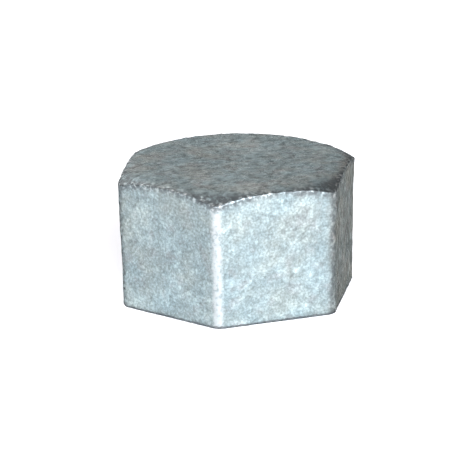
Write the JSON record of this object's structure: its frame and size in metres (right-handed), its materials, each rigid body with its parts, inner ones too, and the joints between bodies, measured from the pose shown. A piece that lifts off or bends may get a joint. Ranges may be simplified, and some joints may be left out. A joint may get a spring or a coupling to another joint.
{
  "type": "pipe cap",
  "caption": "Hexagonal female pipe cap: a galvanised malleable-iron casting with a tapped blind socket for a threaded pipe end.",
  "frame": {"origin": "centre of the open mouth, in the plane of its rim", "axes": "+Z along the pipe's axis, from the open mouth towards the closed end; one pair of spanner flats faces -Y and +Y, and two corners point along X"},
  "size_m": [0.0442, 0.039, 0.024],
  "materials": {
    "galvanised_iron": "hot-dip galvanised over a cast skin: mottled blue-grey zinc, satin and lightly pitted; bare and bright on the cut thread"
  },
  "bodies": {
    "root": {"cap_casting": "galvanised_iron"}
  },
  "joints": []
}
